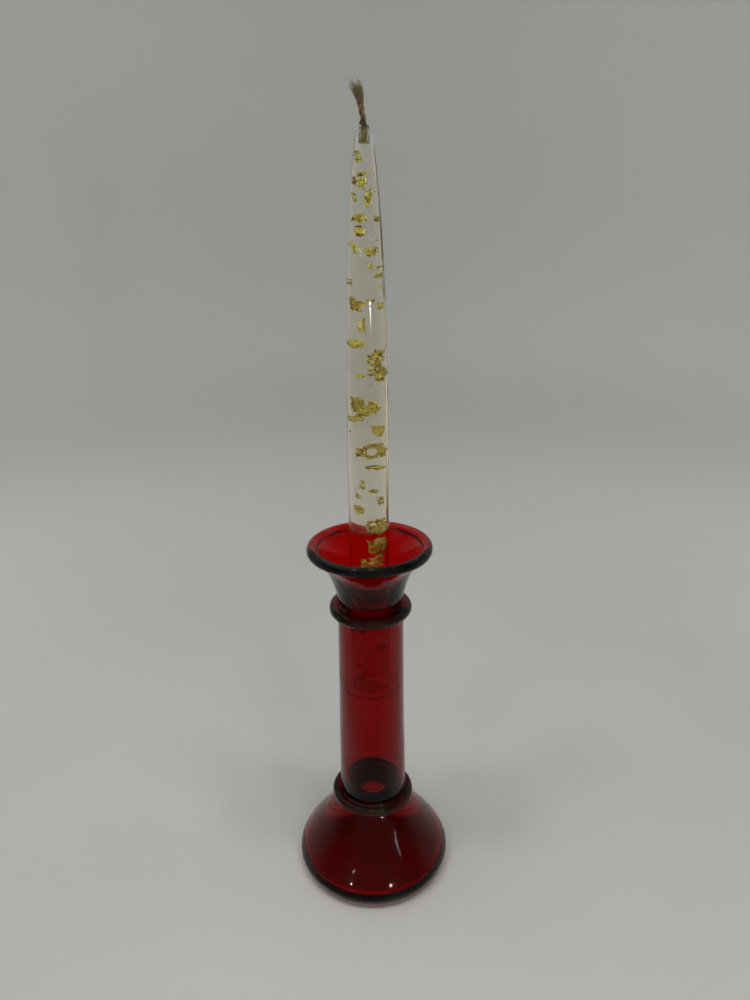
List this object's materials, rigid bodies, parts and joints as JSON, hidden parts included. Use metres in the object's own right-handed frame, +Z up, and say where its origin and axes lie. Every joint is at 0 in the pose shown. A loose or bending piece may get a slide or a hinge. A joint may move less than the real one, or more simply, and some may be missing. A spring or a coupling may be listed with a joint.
{
  "type": "unity candle",
  "caption": "Clear tapered candle with cast-in gold leaf and a twisted wick, standing in a tall blown glass candlestick with a flared cup, ringed stem and bell foot.",
  "frame": {"origin": "on the candlestick's axis, at the plane its foot rests on", "axes": "+Z up along the shared axis of the candlestick and the candle, +X to the viewer's right, +Y away from the viewer"},
  "size_m": [0.092, 0.092, 0.4375],
  "materials": {
    "ruby_glass": "polished transparent ruby",
    "dark_ruby_glass": "polished transparent ruby, near black where it is thick",
    "clear_resin": "clear cast, polished",
    "clear_glue": "cloudy clear",
    "wick_twine": "twisted plant fibre, charred at the foot",
    "frayed_fibre": "loose frayed fibre",
    "gold_leaf": "crumpled metal leaf"
  },
  "bodies": {
    "candlestick": {"foot_bulb": "ruby_glass", "waist_ring": "dark_ruby_glass", "stem_tube": "ruby_glass", "candle_seat": "ruby_glass", "neck_ring": "dark_ruby_glass", "candle_cup": "ruby_glass", "lip_bead": "dark_ruby_glass"},
    "candle": {"taper": "clear_resin", "wick_glue": "clear_glue", "wick_tuft": "frayed_fibre", "gold_specks": "gold_leaf", "wick_strand_1": "wick_twine", "wick_strand_2": "wick_twine", "wick_strand_3": "wick_twine", "gold_leaf_01": "gold_leaf", "gold_leaf_02": "gold_leaf", "gold_leaf_03": "gold_leaf", "gold_leaf_04": "gold_leaf", "gold_leaf_05": "gold_leaf", "gold_leaf_06": "gold_leaf", "gold_leaf_07": "gold_leaf", "gold_leaf_08": "gold_leaf", "gold_leaf_09": "gold_leaf", "gold_leaf_10": "gold_leaf", "gold_leaf_11": "gold_leaf", "gold_leaf_12": "gold_leaf", "gold_leaf_13": "gold_leaf", "gold_leaf_14": "gold_leaf", "gold_leaf_15": "gold_leaf", "gold_leaf_16": "gold_leaf", "gold_leaf_17": "gold_leaf", "gold_leaf_18": "gold_leaf", "gold_leaf_19": "gold_leaf", "gold_leaf_20": "gold_leaf", "gold_leaf_21": "gold_leaf", "gold_leaf_22": "gold_leaf", "gold_leaf_23": "gold_leaf", "gold_leaf_24": "gold_leaf", "gold_leaf_25": "gold_leaf", "gold_leaf_26": "gold_leaf", "gold_leaf_27": "gold_leaf", "gold_leaf_28": "gold_leaf", "gold_leaf_29": "gold_leaf", "gold_leaf_30": "gold_leaf", "gold_leaf_31": "gold_leaf", "gold_leaf_32": "gold_leaf", "gold_leaf_33": "gold_leaf", "gold_leaf_34": "gold_leaf", "gold_leaf_35": "gold_leaf", "gold_leaf_36": "gold_leaf", "gold_leaf_37": "gold_leaf", "gold_leaf_38": "gold_leaf", "gold_leaf_39": "gold_leaf", "gold_leaf_40": "gold_leaf", "gold_leaf_41": "gold_leaf"}
  },
  "joints": [
    {"name": "candle_lift", "type": "slide", "parent": "candlestick", "child": "candle", "axis": [0, 0, 1], "range_m": [0, 0.12]}
  ]
}
